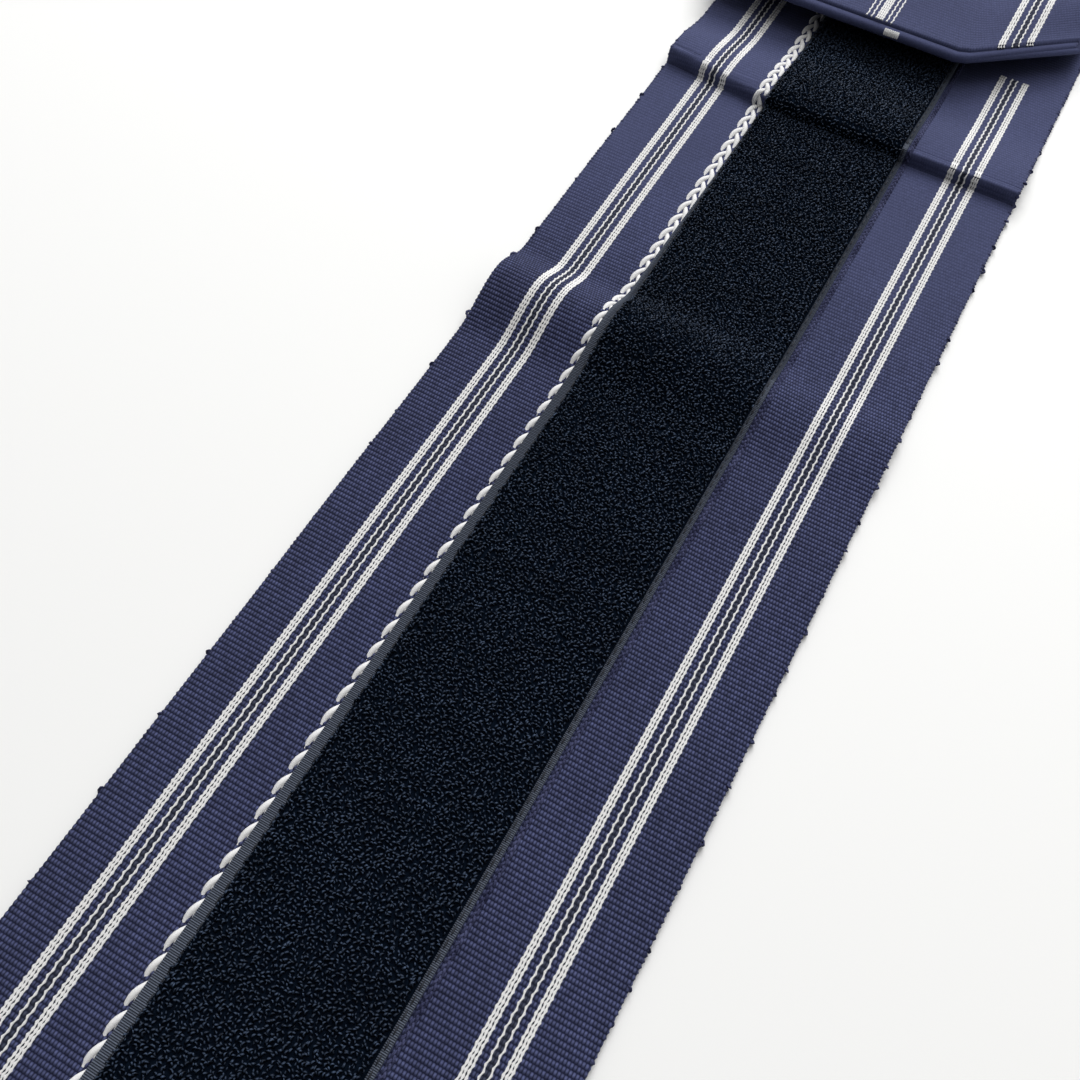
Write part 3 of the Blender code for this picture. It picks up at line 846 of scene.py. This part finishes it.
# painted sheen: stretched noise lays lighter and darker bands across the pile, standing in for the light
# caught by loops that lean different ways
stretched = put(tree, "ShaderNodeMapping", Vector=put(tree, "ShaderNodeTexCoord").outputs["Object"],
                Scale=(16, 170, 16)).outputs[0]
rows = put(tree, "ShaderNodeTexNoise", Vector=stretched, Scale=1.0, Detail=2.0).outputs[0]
rows = blended(tree, rows, (0.1, 0.1, 0.1, 1), (1.9, 1.9, 1.9, 1))
colour = blended(tree, 0.6, colour, rows, "MULTIPLY")
tree.links.new(colour, surface["Base Color"])


def tape_grid(cloth, along, places, lift):
    """Points above the cloth: a row for each place along, a column for each place across."""
    along, places = np.broadcast_arrays(along[:, None], places)
    return on_cloth(cloth, along, places, lift, "eased_facing")


def tape_ground(name, cloth, first, last, stands_for):
    rows = round((last - first) / SELVEDGE_RIB) * 2 + 1
    along = np.linspace(first, last, rows)
    y = tape_grid(cloth, along, np.zeros((1, 1)), 0.0)[0][:, 0, 1]
    tuck = np.clip((y - TUCK_START) / TUCK_OVER, 0, 1)
    tuck = TUCK * tuck ** 2 * (3 - 2 * tuck)
    left = TAPE_LEFT + tuck
    share = np.array([0, 0.08, 0.5, 1])[None, :]
    rest = np.tile((-0.006, 0.006, PILE_RIGHT, TAPE_RIGHT - 0.0002, TAPE_RIGHT), (rows, 1))
    places = np.concatenate([left[:, None] * (1 - share) + PILE_LEFT * share, rest], 1)
    rise = 0.00008 * (-1.0) ** np.arange(rows)[:, None] + 0 * places
    rise[:, (0, -1)] -= 0.00016
    upper = tape_grid(cloth, along, places, GROUND_TOP + rise)[0]
    lower = tape_grid(cloth, along, places, GROUND_LOW - rise / 2)[0]
    place = np.stack([places, along[:, None] + 0 * places], 2)
    piece = slab(name, upper, lower, place)
    piece.data.materials.append(grey)
    piece.data.shade_smooth()
    piece.data.set_sharp_from_angle(angle=math.radians(65))
    finished(piece, stands_for)


def pile(name, cloth, first, last, patches):
    """The felted bed of the pile, and over it the loops, in patches along the tape."""
    along = np.linspace(first, last, round((last - first) / 0.0008) + 1)
    places = np.linspace(PILE_LEFT, PILE_RIGHT, 25)[None, :]
    lumps = 0.00012 * np.sin(along[:, None] * 2900 + np.sin(places * 1700) * 2) * np.cos(places * 2300)
    drop = np.zeros_like(lumps)
    drop[:, (0, -1)] = drop[(0, -1), :] = 0.0003
    upper = tape_grid(cloth, along, places, BED_TOP + lumps - drop)[0]
    lower = tape_grid(cloth, along, places, GROUND_TOP - 0.0002 + 0 * lumps)[0]
    piece = slab("pile_bed_" + name, upper, lower, np.stack(np.broadcast_arrays(places, along[:, None]), 2))
    piece.data.materials.append(black)
    piece.data.shade_smooth()
    finished(piece)
    shuffle = np.random.default_rng(11)
    rows = np.arange(first + 0.0003, last - 0.0002, LOOP_ROW)
    columns = np.arange(PILE_LEFT + 0.0003, PILE_RIGHT - 0.0002, LOOP_COLUMN)
    for patch, chosen in enumerate(np.array_split(rows, patches)):
        a, b = np.meshgrid(chosen, columns, indexing="ij")
        b = b + 0.0002 * (np.arange(len(chosen)) % 2)[:, None]
        a = (a + shuffle.uniform(-0.00022, 0.00022, a.shape)).ravel()
        b = (b + shuffle.uniform(-0.00028, 0.00028, b.shape)).ravel()
        a = np.clip(a, cloth["along"][0], cloth["along"][-1])
        points, out = on_cloth(cloth, a, np.clip(b, PILE_LEFT, PILE_RIGHT), LOOP_FOOT, "eased_facing")
        piece = as_piece(f"pile_loops_{name}_{patch + 1}", points, [], [], up=out)
        piece = grown(piece, loops, Width=0.00062, Height=0.00066, Thickness=0.00018, Sweep=3.3, Scatter=1.7,
                      Lean=0.4, Vary=0.25, Seed=20 + patch, Material=nylon)
        finished(piece)


near_first, far_last = along_at(near_cloth, TAPE_START), along_at(middle_cloth, TAPE_END)
tape_ground("loop_tape_near_ground", near_cloth, near_first, near_cloth["along"][-1],
            ["loop_tape_near"])
tape_ground("loop_tape_far_ground", middle_cloth, middle_cloth["along"][0], far_last,
            ["loop_tape_middle", "loop_tape_far"])
pile("near", near_cloth, near_first + BARE_END, near_cloth["along"][-1], 6)
pile("far", middle_cloth, middle_cloth["along"][0], far_last - BARE_END, 1)

# ---------------------------------------------------------------------------- sewing
# Dark spun thread: a row of stitches down each selvedge of the loop tape and across its ends, one
# across each hem, and a box round the hook tape that shows on the face of the far end.
STITCH, STITCH_GAP = 0.0021, 0.0005
charcoal_thread = thread_finish("charcoal_thread", (0.006, 0.007, 0.010, 1), (0.035, 0.040, 0.052, 1),
                                0.7, 0.25)


def stitches(name, cloth, along, u, lift, across, stands_for):
    """A row of stitches over places on the cloth, run along it, or across it if across is set."""
    piece = lines_on(name, cloth, [(along, u, lift, 0.0)])
    piece = grown(piece, beads, Across=0.00034, Run=STITCH, Rise=0.00034, Turn=math.pi / 2 * across,
                  Vary=0.05, Seed=9, Material=charcoal_thread)
    finished(piece, stands_for)


def spread(first, last):
    """The middles of the stitches that fill a row."""
    count = max(round((last - first) / (STITCH + STITCH_GAP)), 1)
    return first + (np.arange(count) + 0.5) * (last - first) / count


on_tape = GROUND_TOP + 0.00008
on_band = HALF + 0.0001
for side, u in (("left", PILE_LEFT - 0.0003), ("right", PILE_RIGHT + 0.0005)):
    run = spread(near_first + 0.001, near_cloth["along"][-1])
    stitches(f"stitches_{side}_near", near_cloth, run, u, on_tape, 0, [f"tape_seam_{side}_near"])
    run = spread(middle_cloth["along"][0], far_last - 0.001)
    stitches(f"stitches_{side}_far", middle_cloth, run, u, on_tape, 0,
             [f"tape_seam_{side}_middle", f"tape_seam_{side}_far"])
for name, cloth, span, node, lift in (
        ("tape_start", near_cloth, "near", "tape_end_seam_near", on_tape),
        ("tape_end", middle_cloth, "middle", "tape_end_seam_far", on_tape),
        ("near_hem", near_cloth, "near", "hem_seam_near", on_band),
        ("far_hem", far_cloth, "far", "hem_seam_far", on_band)):
    low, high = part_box(node)
    across = spread(low[0], high[0])
    row = along_at(cloth, (low[1] + high[1]) / 2) + 0 * across
    stitches("stitches_" + name, cloth, row, across, lift, 1, [node])
low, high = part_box("hook_tape_seam")
box_first, box_last = along_at(far_cloth, low[1] + 0.0002), along_at(far_cloth, high[1] - 0.0002)
sides, ends = spread(box_first, box_last), spread(low[0], high[0])
for label, u in (("left", low[0] + 0.0002), ("right", high[0] - 0.0002)):
    stitches("stitches_box_" + label, far_cloth, sides, u, on_band, 0, ["hook_tape_seam"])
for label, row in (("first", box_first), ("last", box_last)):
    stitches("stitches_box_" + label, far_cloth, row + 0 * ends, ends, on_band, 1, ["hook_tape_seam"])

# ---------------------------------------------------------------------------- hook tape
# The other half of the fastener, sewn under the far end with its hooks facing down: a flat
# nylon ground with rows of small stiff hooks that all lean the same way.
low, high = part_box("hook_tape")
hook_first, hook_last = along_at(far_cloth, low[1]), along_at(far_cloth, high[1])
along = np.linspace(hook_first, hook_last, 120)
places = np.linspace(low[0], high[0], 12)[None, :]
upper = tape_grid(far_cloth, along, places, -HALF - 0.00012)[0]
lower = tape_grid(far_cloth, along, places, -HALF - 0.00068)[0]
piece = slab("hook_tape_ground", upper, lower, np.stack(np.broadcast_arrays(places, along[:, None]), 2))
piece.data.materials.append(grey)
piece.data.shade_smooth()
piece.data.set_sharp_from_angle(angle=math.radians(50))
finished(piece, ["hook_tape"])
a, b = np.meshgrid(np.arange(hook_first + 0.002, hook_last - 0.001, 0.0019),
                   np.arange(low[0] + 0.0022, high[0] - 0.002, 0.0013), indexing="ij")
points, out = on_cloth(far_cloth, a.ravel(), b.ravel(), -HALF - 0.0009)
piece = as_piece("hook_tape_hooks", points, [], [], up=-out)
piece = grown(piece, loops, Width=0.0010, Height=0.00075, Thickness=0.00012, Sweep=3.9, Scatter=0.1,
              Lean=0.06, Vary=0.05, Seed=31, Material=nylon)
finished(piece)
